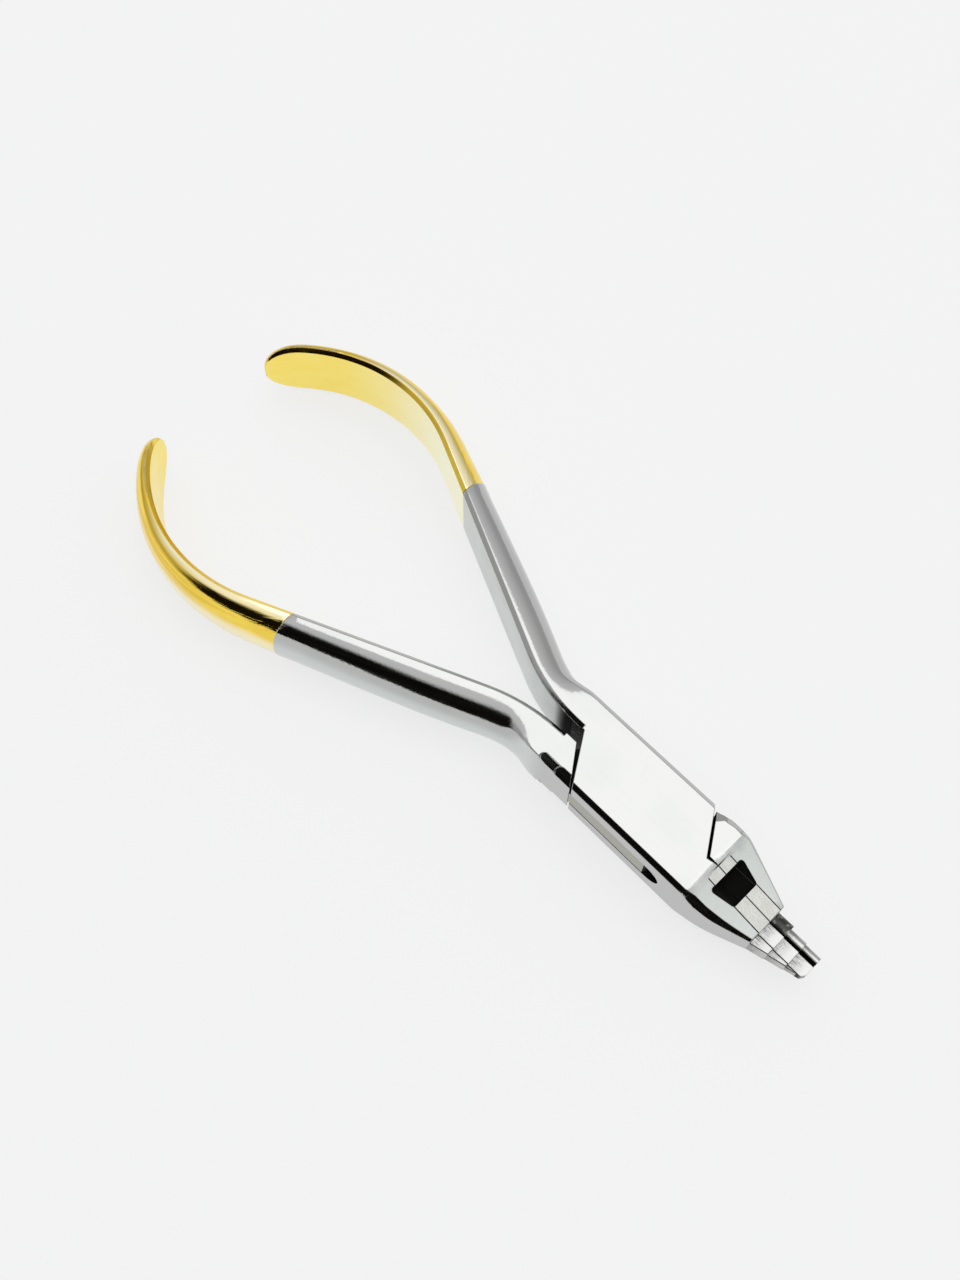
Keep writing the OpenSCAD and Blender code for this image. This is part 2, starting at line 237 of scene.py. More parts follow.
QUARTER = [math.radians(d) for d in (
    0, 2, 5, 8, 12, 16, 20, 24, 27, 30, 32.5, 35, 37.5, 40, 42.5, 45, 48, 52, 56, 61, 67, 72, 78, 84, 90
)]


def section(t, h, b, m, c):
    """Outline of the handle: the flat inner side, then the outer side from the top round to the bottom."""
    q = [outer_point(a, t, h, b, m, c) for a in QUARTER]
    return [(0.0, b - h), (0.0, h - b)] + q + [(o, -z) for o, z in q[-2::-1]]


def smooth_lookup(table, x):
    """The table's value at x, with its corners rounded away from the joint."""
    xs, values = [p[0] for p in table], [p[1] for p in table]
    reach = min(SMOOTH_REACH, max(0.0, SMOOTH_X - x))
    return float(np.mean(np.interp(x + reach * np.linspace(-1, 1, 21), xs, values)))


def ring(station, c, plating):
    """Points of one station's outline; the plating's edge stands square to the tool, not to the handle."""
    x, y, heading, factor = station
    if abs(x - plating) < 0.001:
        out = (0.0, 1 / math.cos(heading))
    else:
        out = (math.sin(heading), math.cos(heading))
    t = smooth_lookup(GRIP_T, x) * factor ** TIP_THINNING
    h = smooth_lookup(GRIP_H, x) * factor
    points = section(t, h, GRIP_BEVEL * factor, boxy(x), c)
    return [(x + o * out[0], y + o * out[1], z + HALF_T) for o, z in points]


def sweep_mesh(name, stations, side, c, plating):
    """Closed tube through the stations; side is 1 for the +Y handle and -1 for the other."""
    rings = [ring(s, c, plating) for s in stations]
    n = len(rings[0])
    verts = [(x, side * y, z) for r in rings for x, y, z in r]
    faces, slots = [], []
    for k in range(len(rings) - 1):
        for i in range(n):
            j = (i + 1) % n
            faces.append((k * n + i, (k + 1) * n + i, (k + 1) * n + j, k * n + j))
            slots.append(SATIN if i == 0 else MAIN)
    faces.append(tuple(range(n)))
    faces.append(tuple((len(rings) - 1) * n + i for i in reversed(range(n))))
    mesh = bpy.data.meshes.new(name)
    mesh.from_pydata(verts, [], faces)
    mesh.polygons.foreach_set("material_index", slots + [MAIN, MAIN])
    bm = bmesh.new()
    bm.from_mesh(mesh)
    bmesh.ops.recalc_face_normals(bm, faces=bm.faces)
    bm.to_mesh(mesh)
    bm.free()
    return mesh


# ================= Mesh helpers =================
def front_slot(centre, normal):
    """The material slot of a face ahead of the shank: painted shade in the slot, in the joint's gaps and on
    the crotch's inner faces.
    """
    across = centre.x * math.cos(SLANT) + centre.y * math.sin(SLANT)
    slanted = abs(normal.x * math.cos(SLANT) + normal.y * math.sin(SLANT)) > 0.98
    in_gap = slanted and CHEEK_D - 0.1 < abs(across) < CHEEK_D + 0.8
    in_slot = (
        abs(centre.z - HALF_T) < SLOT_H + 0.02 and abs(centre.y) < HALF_W - 0.08
        and ROOT_X < centre.x < RELIEF_X
    )
    in_crotch = abs(abs(centre.y) - CROTCH_Y) < 0.1 and abs(normal.y) > 0.9 and centre.x < -CHEEK_D
    return RECESS if in_gap or in_slot or in_crotch else MAIN


def jaw_top(x):
    """Half height of the jaws at x, on the ground arc."""
    return RELIEF_CENTRE_Z - math.sqrt(RELIEF_R ** 2 - (RELIEF_CENTRE_X - x) ** 2)


def round_relief(bm):
    """Rounds the crease where the ground jaws leave the flat of the joint, top and bottom."""
    start, end = RELIEF_X - RELIEF_ROUND, RELIEF_X + RELIEF_ROUND
    for x in spread(start, end, 0.16):
        bmesh.ops.bisect_plane(
            bm, geom=bm.verts[:] + bm.edges[:] + bm.faces[:], dist=CUT_SLACK,
            plane_co=(x, 0, 0), plane_no=(1, 0, 0),
        )
    for v in bm.verts:
        x, up = v.co.x, 1 if v.co.z > HALF_T else -1
        if not start < x < end:
            continue
        flat = HALF_T if x < RELIEF_X else jaw_top(x)
        if abs(abs(v.co.z - HALF_T) - flat) < 0.01:
            drop = (HALF_T - jaw_top(end)) * ((x - start) / (end - start)) ** 2
            v.co.z = HALF_T + up * (HALF_T - drop)


def clean_copy(node, keep_from):
    """The CAD node's mesh in millimetres, with its flat faces merged, cut off behind keep_from."""
    bm = bmesh.new()
    bm.from_mesh(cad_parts[node].data)
    bmesh.ops.scale(bm, vec=(1 / MM,) * 3, verts=bm.verts)
    bmesh.ops.remove_doubles(bm, verts=bm.verts, dist=WELD)
    cut = bmesh.ops.bisect_plane(
        bm, geom=bm.verts[:] + bm.edges[:] + bm.faces[:], dist=CUT_SLACK,
        plane_co=(keep_from, 0, 0), plane_no=(-1, 0, 0), clear_outer=True,
    )
    rim = [e for e in cut["geom_cut"] if isinstance(e, bmesh.types.BMEdge)]
    bmesh.ops.triangle_fill(bm, use_beauty=True, edges=rim)
    bmesh.ops.dissolve_limit(bm, angle_limit=math.radians(0.4), verts=bm.verts, edges=bm.edges)
    round_relief(bm)
    bmesh.ops.recalc_face_normals(bm, faces=bm.faces)
    for face in bm.faces:
        face.material_index = front_slot(face.calc_center_median(), face.normal)
    mesh = bpy.data.meshes.new(node + "_copy")
    bm.to_mesh(mesh)
    bm.free()
    return mesh


def add_object(name, data):
    obj = bpy.data.objects.new(name, data)
    bpy.context.scene.collection.objects.link(obj)
    return obj


def join_solids(name, front, shank):
    """One closed mesh from the CAD copy and the swept shank, bridged across the short gap between them."""
    bm = bmesh.new()
    bm.from_mesh(front)
    bm.from_mesh(shank)
    caps = [
        f for f in bm.faces
        if abs(f.normal.x) > 0.99 and SHANK_START - 0.05 < f.calc_center_median().x < JOIN_X + 0.01
    ]
    bmesh.ops.delete(bm, geom=caps, context="FACES_ONLY")
    rims = [e for e in bm.edges if e.is_boundary]
    band = bmesh.ops.bridge_loops(bm, edges=rims)["faces"]
    for face in band:
        inner = abs(face.normal.y) > 0.9 and abs(face.calc_center_median().y) < CROTCH_Y + 0.4
        face.material_index, face.smooth = SATIN if inner else MAIN, True
    bmesh.ops.recalc_face_normals(bm, faces=bm.faces)
    mesh = bpy.data.meshes.new(name)
    bm.to_mesh(mesh)
    bm.free()
    return mesh


def keep_inside(mesh):
    """The finer sweep bulges a few hundredths past the CAD solid's chords; hold it to the CAD box."""
    low, high = CAD_BOUNDS
    for vertex in mesh.vertices:
        vertex.co = [min(max(v, a), b) for v, a, b in zip(vertex.co, low, high)]


def weigh_edges(mesh, angle):
    """Marks the edges to be rounded: the sharp ones, apart from those around the rivet's flush heads."""
    bm = bmesh.new()
    bm.from_mesh(mesh)
    weight = bm.edges.layers.float.new("bevel_weight_edge")
    for edge in bm.edges:
        near = min(v.co.xy.length for v in edge.verts) < RIVET_KEEP * MM
        sharp = len(edge.link_faces) == 2 and edge.calc_face_angle() > angle
        edge[weight] = 1.0 if sharp and not near else 0.0
    bm.to_mesh(mesh)
    bm.free()


def soften(obj, width):
    """Small rounds on the sharp edges, and smooth shading elsewhere."""
    mesh = obj.data
    mesh.polygons.foreach_set("use_smooth", [True] * len(mesh.polygons))
    weigh_edges(mesh, math.radians(28))
    bevel = obj.modifiers.new("edge_round", "BEVEL")
    bevel.limit_method = "WEIGHT"
    bevel.width = width * MM
    bevel.segments = 2
    bevel.use_clamp_overlap = False
    bevel.harden_normals = True
    obj.modifiers.new("normals", "WEIGHTED_NORMAL").keep_sharp = True


def set_materials(mesh, materials):
    """Gives a mesh that has no materials yet these ones; clearing the list would reset its faces' slots."""
    for material in materials:
        mesh.materials.append(material)


# ================= Shader helpers =================
def map_range(tree, value, places, levels, interpolation):
    """Map range node on value, from places to levels."""
    node = tree.nodes.new("ShaderNodeMapRange")
    node.interpolation_type = interpolation
    for name, number in zip(("From Min", "From Max", "To Min", "To Max"), (*places, *levels)):
        node.inputs[name].default_value = number
    tree.links.new(value, node.inputs["Value"])
    return node.outputs["Result"]


def dot_product(tree, a, b):
    """Dot product of an output with another output, or with a plain vector."""
    node = tree.nodes.new("ShaderNodeVectorMath")
    node.operation = "DOT_PRODUCT"
    tree.links.new(a, node.inputs[0])
    if isinstance(b, bpy.types.NodeSocket):
        tree.links.new(b, node.inputs[1])
    else:
        node.inputs[1].default_value = b
    return node.outputs["Value"]


class Shader:
    """A metal material with sockets that later layers are mixed onto."""

    def __init__(self, name, colour, roughness, metallic=1.0):
        self.material = bpy.data.materials.new(name)
        self.material.use_nodes = True
        self.tree = self.material.node_tree
        self.principled = self.tree.nodes["Principled BSDF"]
        self.principled.inputs["Metallic"].default_value = metallic
        coords = self.tree.nodes.new("ShaderNodeTexCoord")
        scaled = self.tree.nodes.new("ShaderNodeVectorMath")
        scaled.operation = "SCALE"
        scaled.inputs["Scale"].default_value = 1 / MM
        self.link(coords.outputs["Object"], scaled.inputs[0])
        self.place = scaled.outputs[0]
        self.x, self.y, self.z = self.split(self.place)
        self.normal = self.split(coords.outputs["Normal"])
        self.colour, self.roughness, self.height, self.rounded = colour, roughness, None, None

    def link(self, out, socket):
        self.tree.links.new(out, socket)

    def feed(self, value, socket):
        """Sets a plain value on a socket, or links an output to it."""
        if isinstance(value, bpy.types.NodeSocket):
            self.link(value, socket)
        elif isinstance(value, tuple):
            socket.default_value = (*value, 1)
        else:
            socket.default_value = value

    def split(self, vector):
        node = self.tree.nodes.new("ShaderNodeSeparateXYZ")
        self.link(vector, node.inputs[0])
        return node.outputs[0], node.outputs[1], node.outputs[2]

    def math(self, operation, *values):
        """Math node on outputs and plain numbers."""
        node = self.tree.nodes.new("ShaderNodeMath")
        node.operation = operation
        for value, socket in zip(values, node.inputs):
            self.feed(value, socket)
        return node.outputs[0]

    def product(self, *values):
        result = values[0]
        for value in values[1:]:
            result = self.math("MULTIPLY", result, value)
        return result

    def squares(self, a, b):
        """The sum of two squares."""
        return self.math("ADD", self.product(a, a), self.product(b, b))

    def ramp(self, value, low, high, out_low=0.0, out_high=1.0):
        """Smooth change from one level to another as value goes from low to high."""
        return map_range(self.tree, value, (low, high), (out_low, out_high), "SMOOTHSTEP")

    def band(self, value, low, high, soft):
        """1 between low and high, 0 outside."""
        return self.product(
            self.ramp(value, low - soft, low + soft), self.ramp(value, high - soft, high + soft, 1.0, 0.0)
        )

    def vector(self, x, y, z):
        node = self.tree.nodes.new("ShaderNodeCombineXYZ")
        for value, socket in zip((x, y, z), node.inputs):
            self.feed(value, socket)
        return node.outputs[0]

    def noise(self, vector, scale, detail=3.0, low=0.35, high=0.65):
        """Noise stretched to run from 0 at low to 1 at high."""
        node = self.tree.nodes.new("ShaderNodeTexNoise")
        node.inputs["Scale"].default_value = scale
        node.inputs["Detail"].default_value = detail
        self.link(vector, node.inputs["Vector"])
        return self.ramp(node.outputs["Fac"], low, high)

    def mix(self, factor, a, b):
        node = self.tree.nodes.new("ShaderNodeMixRGB")
        for value, socket in zip((factor, a, b), node.inputs):
            self.feed(value, socket)
        return node.outputs[0]

    def blend(self, factor, a, b):
        """a where factor is 0, b where it is 1."""
        rise = self.math("SUBTRACT", b, a)
        return self.math("MULTIPLY_ADD", factor, rise, a)

    def layer(self, factor, colour=None, roughness=None):
        """Lays a colour, a roughness or both over what is there, by factor."""
        if colour is not None:
            self.colour = self.mix(factor, self.colour, colour)
        if roughness is not None:
            self.roughness = self.blend(factor, self.roughness, roughness)

    def along_handles(self):
        """Coordinates whose lines of equal y follow the joint and the straight handles."""
        back = self.math("MINIMUM", self.math("ADD", self.x, 20.0), 0.0)
        slid = self.math("MULTIPLY_ADD", back, math.tan(SPLAY), self.math("ABSOLUTE", self.y))
        return self.x, slid

    def around_bow(self):
        """Coordinates along and across the bowed handle ends."""
        dx = self.math("SUBTRACT", self.x, BOW_X)
        dy = self.math("SUBTRACT", self.math("ABSOLUTE", self.y), BOW_Y)
        angle = self.math("ARCTAN2", dx, dy)
        radius = self.math("POWER", self.squares(dx, dy), 0.5)
        return self.math("MULTIPLY", angle, BOW_R), radius

    def streaks(self, along, across, length, width, detail=4.0, low=0.35, high=0.65):
        """Noise drawn out along the piece, in streaks of about this length and width."""
        stretched = self.vector(
            self.math("DIVIDE", along, length), self.math("DIVIDE", across, width),
            self.math("DIVIDE", self.z, width)
        )
        return self.noise(stretched, 1.0, detail, low, high)

    def edge_wear_and_highlight(self, radius, colour, roughness, strength):
        """Brighter, smoother metal along the edges, partly edge wear and partly a painted highlight; it
        also rounds the edges a little.
        """
        bevel = self.tree.nodes.new("ShaderNodeBevel")
        bevel.samples = 6
        bevel.inputs["Radius"].default_value = radius * MM
        geometry = self.tree.nodes.new("ShaderNodeNewGeometry")
        away = self.math("GREATER_THAN", self.squares(self.x, self.y), RIVET_KEEP ** 2)
        self.rounded = self.mix(away, geometry.outputs["Normal"], bevel.outputs[0])
        turned = dot_product(self.tree, bevel.outputs[0], geometry.outputs["Normal"])
        worn_and_lit = self.ramp(turned, 0.90, 0.995, strength, 0.0)
        self.layer(self.product(worn_and_lit, away), colour, roughness)

    def window(self):
        """1 on the walls of the cutter window, where painted shade goes."""
        width = map_range(self.tree, self.x, WINDOW_X, WINDOW_Y, "LINEAR")
        inside = self.math("LESS_THAN", self.math("SUBTRACT", self.math("ABSOLUTE", self.y), width), 0.04)
        dx = self.math("SUBTRACT", self.x, WINDOW_CENTRE)
        ring = self.math("LESS_THAN", self.squares(dx, self.y), (WINDOW_R + 0.04) ** 2)
        long = self.band(self.x, WINDOW_X[0] - 0.05, WINDOW_X[1] + 0.05, 0.01)
        return self.product(inside, ring, long, self.below_jaw_top(0.05))

    def below_jaw_top(self, depth):
        """1 on what lies deeper than this under the jaws' ground top and bottom."""
        dx = self.math("SUBTRACT", RELIEF_CENTRE_X, self.x)
        rise = self.math("POWER", self.math("SUBTRACT", RELIEF_R ** 2, self.product(dx, dx)), 0.5)
        top = self.math("SUBTRACT", RELIEF_CENTRE_Z - depth, rise)
        return self.math("LESS_THAN", self.math("ABSOLUTE", self.math("SUBTRACT", self.z, HALF_T)), top)

    def on_beaks(self):
        """1 ahead of the jaws' ends."""
        return self.ramp(self.x, JAW_X - 0.1, JAW_X + 0.05)

    def steps(self):
        """Place along the beaks, counted in steps."""
        return self.math("DIVIDE", self.math("SUBTRACT", self.x, JAW_X), STEP_LEN)

    def painted_step_shade(self):
        """Painted shade at the back of each beak step, in fine strokes along and across it."""
        turn = self.math("FRACT", self.steps())
        strokes = self.math(
            "MAXIMUM", self.streaks(self.x, self.y, 1.4, 0.09, 3.0, 0.4, 0.62),
            self.product(self.streaks(self.y, self.x, 0.8, 0.1, 3.0, 0.4, 0.65), 0.7)
        )
        return self.product(self.ramp(turn, 0.0, 0.8, 1.0, 0.0), strokes, self.on_beaks(), 0.8)

    def painted_root_shade(self):
        """Painted shade, mottled, on the first step of the round beak."""
        return self.product(
            self.band(self.x, JAW_X, JAW_X + STEP_LEN, 0.15), self.ramp(self.y, 0.2, 0.35),
            self.noise(self.place, 1.3, 4.0, 0.25, 0.5), 0.93
        )

    def beak_edge(self):
        """Painted shade: a dark band just under each step's top, along the hollow beak's outer side."""
        step = self.math("FLOOR", self.steps())
        top = self.math("MULTIPLY_ADD", step, -STEP_DROP, HALF_T + HOLLOW_H - 0.3)
        return self.product(
            self.math("GREATER_THAN", self.z, top), self.ramp(self.normal[1], -0.3, -0.6), self.on_beaks()
        )

    def painted_tongue_shade(self):
        """1 on the tongue's side face, seen through the slot in the box's side, where painted shade goes.
        """
        return self.product(
            self.band(self.z, HALF_T - SLOT_H, HALF_T + SLOT_H, 0.01),
            self.ramp(self.y, 0.17 - HALF_W, 0.07 - HALF_W), self.band(self.x, *TONGUE_SEEN, 0.05)
        )

    def done(self, bump_mm):
        """Links everything to the shader, with the height as a bump this deep."""
        self.feed(self.colour, self.principled.inputs["Base Color"])
        self.feed(self.roughness, self.principled.inputs["Roughness"])
        bump = self.tree.nodes.new("ShaderNodeBump")
        bump.inputs["Distance"].default_value = bump_mm * MM
        bump.inputs["Strength"].default_value = 1.0
        self.link(self.height, bump.inputs["Height"])
        if self.rounded is not None:
            self.link(self.rounded, bump.inputs["Normal"])
        self.link(bump.outputs[0], self.principled.inputs["Normal"])
        return self.material


# ================= Materials =================
def polished_steel():
    """Mirror polished lever steel, with ground jaws and fine lines along the tool."""
    s = Shader("polished_steel", STEEL, roughness=0.07)
    along, across = s.along_handles()
    lines = s.streaks(along, across, 22.0, 0.5)
    cloud = s.noise(s.place, 0.13, 2.0)
    s.layer(cloud, STEEL_COOL, 0.11)
    s.layer(s.product(lines, 0.6), None, 0.17)
    # Painted light: the shank's sides and underside are made paler than its top
    s.layer(s.product(s.ramp(s.normal[2], 0.45, 0.1), s.ramp(s.x, -13.0, -17.0)), STEEL_PALE, 0.14)
    along_jaw = s.math("ADD", s.x, s.product(s.noise(s.place, 0.35, 2.0, 0.2, 0.8), 1.6))
    ground = s.product(s.ramp(along_jaw, RELIEF_X + 0.2, RELIEF_X + 3.2), s.ramp(s.normal[2], 0.80, 0.93))
    s.layer(ground, STEEL_JAW, 0.33)
    s.layer(s.on_beaks(), BEAK, 0.26)
    # Painted shade: the tongue's side face seen through the slot is made darker and olive
    s.layer(s.painted_tongue_shade(), OLIVE, 0.28)
    # Painted shade at the back of each beak step
    s.layer(s.painted_step_shade(), SOOT_AND_SHADE, 0.3)
    # Painted shade on the round beak's first step
    s.layer(s.painted_root_shade(), SOOT_AND_SHADE, 0.35)
    # Edge wear, with a painted highlight along the edges
    s.edge_wear_and_highlight(radius=0.13, colour=STEEL_PALE, roughness=0.12, strength=0.8)
    # Painted shade just under the hollow beak's step tops
    s.layer(s.beak_edge(), BLACK, 0.3)
    # Painted shade on the cutter window's walls
    s.layer(s.window(), WINDOW_SHADE, 0.4)
    s.height = s.math("ADD", s.product(lines, 0.5), s.noise(s.place, 2.2, 2.0))
    return s.done(bump_mm=0.0028)


def satin_steel():
    """Satin inner faces of the handles, with painted shade where they close up at the joint."""
    s = Shader("satin_steel", STEEL_SATIN, roughness=0.34, metallic=0.55)
    along, across = s.along_handles()
    lines = s.streaks(along, across, 9.0, 0.22)
    s.layer(s.product(s.noise(s.place, 0.2, 3.0), 0.5), STEEL_PALE, 0.38)
    s.layer(s.product(lines, 0.35), STEEL_PALE, 0.28)
    # Edge wear, with a painted highlight along the edges
    s.edge_wear_and_highlight(radius=0.14, colour=STEEL_PALE, roughness=0.15, strength=0.6)
    # Painted shade where the inner faces close up at the joint
    s.layer(s.ramp(s.x, -18.9, -16.2), BLACK, 0.9)
    s.height = lines
    return s.done(bump_mm=0.0035)


def painted_shade_steel():
    """Unpolished near-black steel: painted shade in the slot and in the gaps of the joint."""
    s = Shader("painted_shade_steel", BLACK, roughness=0.5)
    s.layer(s.noise(s.place, 1.2, 4.0), SOOT_AND_SHADE, 0.65)
    s.height = s.noise(s.place, 4.0, 3.0)
    return s.done(bump_mm=0.01)


def mirror_gold():
    """Plated outer faces, with the drawn-out lines of the buffing wheel."""
    s = Shader("gold_plating", GOLD, roughness=0.06)
    along, across = s.around_bow()
    broad = s.streaks(along, across, 24.0, 0.9, 3.0, 0.42, 0.6)
    fine = s.streaks(along, across, 26.0, 0.28)
    s.layer(s.product(s.noise(s.place, 0.16, 3.0), 0.3), GOLD_DEEP, 0.09)
    s.layer(s.product(broad, s.ramp(s.x, -52.0, -74.0), 0.7), GOLD_DEEP, 0.12)
    s.layer(s.product(fine, 0.4), None, 0.2)
    # Painted highlight: the plating's sides and underside are made paler
    s.layer(s.product(s.ramp(s.normal[2], 0.3, 0.05), 0.8), GOLD_PALE, 0.2)
    # Painted highlight: the plating's top is made paler, apart from the end of the bow
    s.layer(s.product(s.ramp(s.normal[2], 0.78, 0.97), s.ramp(s.x, -88.0, -76.0), 0.8), GOLD_PALE, None)
    # Edge wear, with a painted highlight along the edges
    s.edge_wear_and_highlight(radius=0.16, colour=GOLD_PALE, roughness=0.1, strength=0.7)
    s.height = s.math("ADD", s.product(broad, 0.8), s.product(fine, 0.25))
    return s.done(bump_mm=0.018)


def satin_gold():
    """Plated inner faces, finer, and paler towards the steel by a painted highlight."""
    s = Shader("satin_gold", GOLD_SATIN, roughness=0.2)
    along, across = s.around_bow()
    lines = s.streaks(along, across, 8.0, 0.25)
    s.layer(s.product(s.noise(s.place, 0.25, 3.0), 0.35), GOLD, 0.26)
    s.layer(s.product(lines, 0.3), GOLD, 0.24)
    # Painted highlight: the inner faces are made paler towards the steel
    s.layer(s.ramp(s.x, -88.0, -60.0), GOLD_CREAM, 0.3)
    # Edge wear, with a painted highlight along the edges
    s.edge_wear_and_highlight(radius=0.16, colour=GOLD_PALE, roughness=0.15, strength=0.6)
    s.height = lines
    return s.done(bump_mm=0.004)


def ground_carbide():
    """Warm grey carbide, ground along the jaws, with painted shade on the beak's steps."""
    s = Shader("ground_carbide", CARBIDE, roughness=0.28)
    lines = s.streaks(s.x, s.y, 6.0, 0.16)
    s.layer(s.noise(s.place, 0.5, 4.0), CARBIDE_DARK, 0.34)
    s.layer(s.product(lines, 0.6), CARBIDE_DARK, 0.24)
    beak = s.on_beaks()
    s.layer(beak, BEAK, 0.2)
    # Painted shade at the back of each beak step
    s.layer(s.painted_step_shade(), SOOT_AND_SHADE, 0.3)
    # Painted shade on the round beak's first step
    s.layer(s.painted_root_shade(), SOOT_AND_SHADE, 0.35)
    # Painted dark reflection: the beaks' faces turned towards -Y are made black
    s.layer(s.product(beak, s.ramp(s.normal[1], -0.1, -0.55)), BLACK, 0.2)
    # Painted shade in the seam between the jaws, behind the beaks
    parting_shade = s.product(s.band(s.y, -0.09, 0.09, 0.01), s.ramp(s.x, JAW_X - 0.05, JAW_X, 1.0, 0.0))
    s.layer(parting_shade, SOOT_AND_SHADE, 0.6)
    # Edge wear, with a painted highlight along the edges
    s.edge_wear_and_highlight(radius=0.08, colour=STEEL_PALE, roughness=0.15, strength=0.5)
    # Painted shade on the cutter window's walls
    s.layer(s.window(), WINDOW_SHADE, 0.4)
    s.height = s.math("ADD", lines, s.product(s.noise(s.place, 3.0, 3.0), 0.6))
    return s.done(bump_mm=0.004)


def dark_braze():
    """Oxidised braze alloy in the thin seams beside the carbide."""
    s = Shader("braze_seam", BRAZE, roughness=0.5)
    s.layer(s.noise(s.place, 2.5, 3.0), SOOT_AND_SHADE, 0.65)
    s.height = s.noise(s.place, 6.0, 2.0)
    return s.done(bump_mm=0.006)


# ================= Pieces =================
def add_piece(mesh, body, node, materials):
    """Brings a mesh made in millimetres into the scene, in place of its CAD node."""
    mesh.transform(Matrix.Scale(MM, 4))
    keep_inside(mesh)
    set_materials(mesh, materials)
    obj = add_object(mesh.name, mesh)
    soften(obj, EDGE_ROUND)
    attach(obj, body)
    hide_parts(node)


def lever(node, name, body, side, edge, materials):
    """A lever: the CAD node's front part with the finely swept shank behind it."""
    plating = PLATING_X[0 if side > 0 else 1]
    front = clean_copy(node, JOIN_X)
    shank = sweep_mesh(name + "_shank", shank_stations(plating), side, edge, plating)
    add_piece(join_solids(name, front, shank), body, node, materials)


def gold_handle(node, name, body, side, materials):
    """A plated handle end, finely swept."""
    plating = PLATING_X[0 if side > 0 else 1]
    mesh = sweep_mesh(name, gold_stations(plating), side, JOINT_BEVEL, plating)
    add_piece(mesh, body, node, materials)


def finish_node(node, material, round_mm):
    """Gives a CAD node its material, and rounds its edges where round_mm says how much."""
    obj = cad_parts[node]
    obj.data.materials.clear()
    obj.data.materials.append(material)
    if round_mm:
        soften(obj, round_mm)


def build_pieces():
    steels = (polished_steel(), satin_steel(), painted_shade_steel())
    golds = (mirror_gold(), satin_gold())
    carbide = ground_carbide()
    braze = dark_braze()
    lever("box_lever", "box_half_forging", "box_half", 1, JOINT_BEVEL, steels)
    lever("tongue_lever", "tongue_half_forging", "tongue_half", -1, SHANK_EDGE, steels)
    gold_handle("box_lever_gold_handle", "box_half_gold_grip", "box_half", 1, golds)
    gold_handle("tongue_lever_gold_handle", "tongue_half_gold_grip", "tongue_half", -1, golds)
    finish_node("pivot_rivet", steels[0], 0)
    for node in ("hollow_beak_insert", "round_beak_insert"):
        finish_node(node, carbide, INSERT_ROUND)
    for node in ("hollow_insert_braze", "round_insert_braze"):
        finish_node(node, braze, 0)


# ================= Stage =================
# Floor: half its side in metres, its glow and its paint
FLOOR_REACH = 3.0
FLOOR_GLOW = 0.73
FLOOR_PAINT = (0.20, 0.202, 0.204)


def add_floor():
    """Pale floor under the model; its glow keeps the shadows faint."""
    mesh = bpy.data.meshes.new("floor")
    r, z = FLOOR_REACH, CAD_BOUNDS[0][2]
    mesh.from_pydata([(-r, -r, z), (r, -r, z), (r, r, z), (-r, r, z)], [], [(0, 1, 2, 3)])
    obj = add_object("floor", mesh)
    material = bpy.data.materials.new("floor_paint")
    material.use_nodes = True
    shader = material.node_tree.nodes["Principled BSDF"]
    shader.inputs["Base Color"].default_value = (*FLOOR_PAINT, 1)
    shader.inputs["Roughness"].default_value = 0.9
    shader.inputs["Specular IOR Level"].default_value = 0.0
    shader.inputs["Emission Color"].default_value = (1, 1, 1, 1)
    shader.inputs["Emission Strength"].default_value = FLOOR_GLOW
    mesh.materials.append(material)


def add_camera():
    """Camera at its fitted place and angle."""
    right = Vector((math.cos(CAMERA_AZIMUTH), math.sin(CAMERA_AZIMUTH), 0))
    ahead = Vector((-math.sin(CAMERA_AZIMUTH), math.cos(CAMERA_AZIMUTH), 0))
    down = Vector((0, 0, -1))
    look = ahead * math.cos(CAMERA_ELEVATION) + down * math.sin(CAMERA_ELEVATION)
    up = right.cross(look)
    place = (CAMERA_TARGET - CAMERA_DISTANCE * look) * MM
    data = bpy.data.cameras.new("camera")
    data.lens = CAMERA_LENS
    data.sensor_width = CAMERA_SENSOR
    data.clip_start = 0.01
    obj = add_object("camera", data)
    obj.matrix_world = Matrix((
        (right.x, up.x, -look.x, place.x),
        (right.y, up.y, -look.y, place.y),
        (right.z, up.z, -look.z, place.z),
        (0, 0, 0, 1),
    ))
    bpy.context.scene.camera = obj


# Lamp: place and side in metres, power in watts
LAMP_PLACE = Vector((-0.09, 0.20, 1.03))
LAMP_SIZE = 0.8
LAMP_POWER = 1.8


def add_light():
    """One large soft lamp overhead, aimed at the tool."""
    data = bpy.data.lights.new("softbox", "AREA")
    data.shape = "RECTANGLE"
    data.size = LAMP_SIZE
    data.size_y = LAMP_SIZE
    data.energy = LAMP_POWER
    obj = add_object("softbox", data)
    obj.location = LAMP_PLACE
    obj.rotation_euler = (-LAMP_PLACE).to_track_quat("-Z", "Y").to_euler()


# The room's dark sides: azimuth, then the cosines and the heights between which each fades
DARK_SIDES = (
    (math.radians(-86), (0.78, 0.92), (0.66, 0.85)),
    (math.radians(-42), (0.62, 0.82), (0.36, 0.55)),
)
# Brightness of the room by height, from the horizon to overhead
ROOM_LEVELS = ((0.0, 0.56), (0.3, 0.54), (0.67, 0.77), (0.8, 0.86), (0.87, 0.89), (0.93, 0.91), (1.0, 0.91))
# The dark sides' colour, and the grey that the camera sees past the floor
ROOM_DARK = (0.006, 0.005, 0.004)
ROOM_SEEN = 0.888


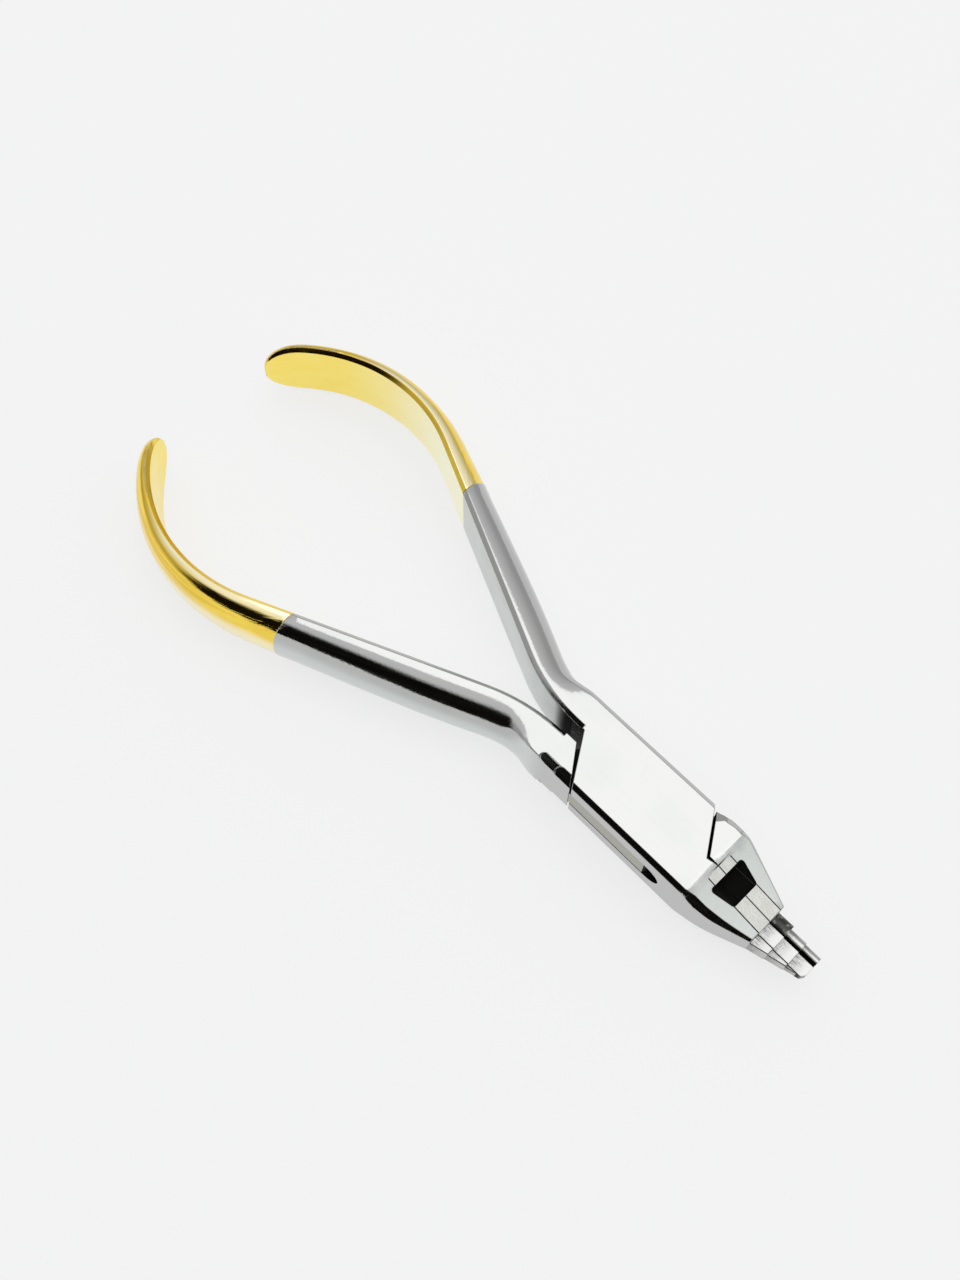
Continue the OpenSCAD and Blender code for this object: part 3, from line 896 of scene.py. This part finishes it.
def add_room():
    """Pale room, brighter overhead, with two dark sides that the polished bevels mirror."""
    world = bpy.data.worlds.new("room")
    bpy.context.scene.world = world
    world.use_nodes = True
    tree = world.node_tree
    background = tree.nodes["Background"]
    coords = tree.nodes.new("ShaderNodeTexCoord")
    split = tree.nodes.new("ShaderNodeSeparateXYZ")
    tree.links.new(coords.outputs["Generated"], split.inputs[0])
    flat = tree.nodes.new("ShaderNodeCombineXYZ")
    tree.links.new(split.outputs["X"], flat.inputs["X"])
    tree.links.new(split.outputs["Y"], flat.inputs["Y"])
    unit = tree.nodes.new("ShaderNodeVectorMath")
    unit.operation = "NORMALIZE"
    tree.links.new(flat.outputs[0], unit.inputs[0])
    dark = tree.nodes.new("ShaderNodeMath")
    dark.operation = "MAXIMUM"
    for socket, (azimuth, edge, top) in zip(dark.inputs, DARK_SIDES):
        towards = dot_product(tree, unit.outputs[0], (math.cos(azimuth), math.sin(azimuth), 0))
        part = tree.nodes.new("ShaderNodeMath")
        part.operation = "MULTIPLY"
        tree.links.new(map_range(tree, towards, edge, (0.0, 1.0), "SMOOTHSTEP"), part.inputs[0])
        tree.links.new(map_range(tree, split.outputs["Z"], top, (1.0, 0.0), "SMOOTHSTEP"), part.inputs[1])
        tree.links.new(part.outputs[0], socket)
    bright = tree.nodes.new("ShaderNodeValToRGB")
    elements = bright.color_ramp.elements
    while len(elements) < len(ROOM_LEVELS):
        elements.new(0.5)
    for element, (place, level) in zip(elements, ROOM_LEVELS):
        element.position = place
        element.color = (level, level, level, 1)
    tree.links.new(split.outputs["Z"], bright.inputs[0])
    mix = tree.nodes.new("ShaderNodeMixRGB")
    tree.links.new(dark.outputs[0], mix.inputs[0])
    tree.links.new(bright.outputs[0], mix.inputs[1])
    mix.inputs[2].default_value = (*ROOM_DARK, 1)
    path = tree.nodes.new("ShaderNodeLightPath")
    seen = tree.nodes.new("ShaderNodeMixRGB")
    tree.links.new(path.outputs["Is Camera Ray"], seen.inputs[0])
    tree.links.new(mix.outputs[0], seen.inputs[1])
    seen.inputs[2].default_value = (ROOM_SEEN, ROOM_SEEN, ROOM_SEEN, 1)
    tree.links.new(seen.outputs[0], background.inputs["Color"])


build_pieces()
add_floor()
add_camera()
add_light()
add_room()
bpy.context.scene.view_settings.view_transform = "Standard"
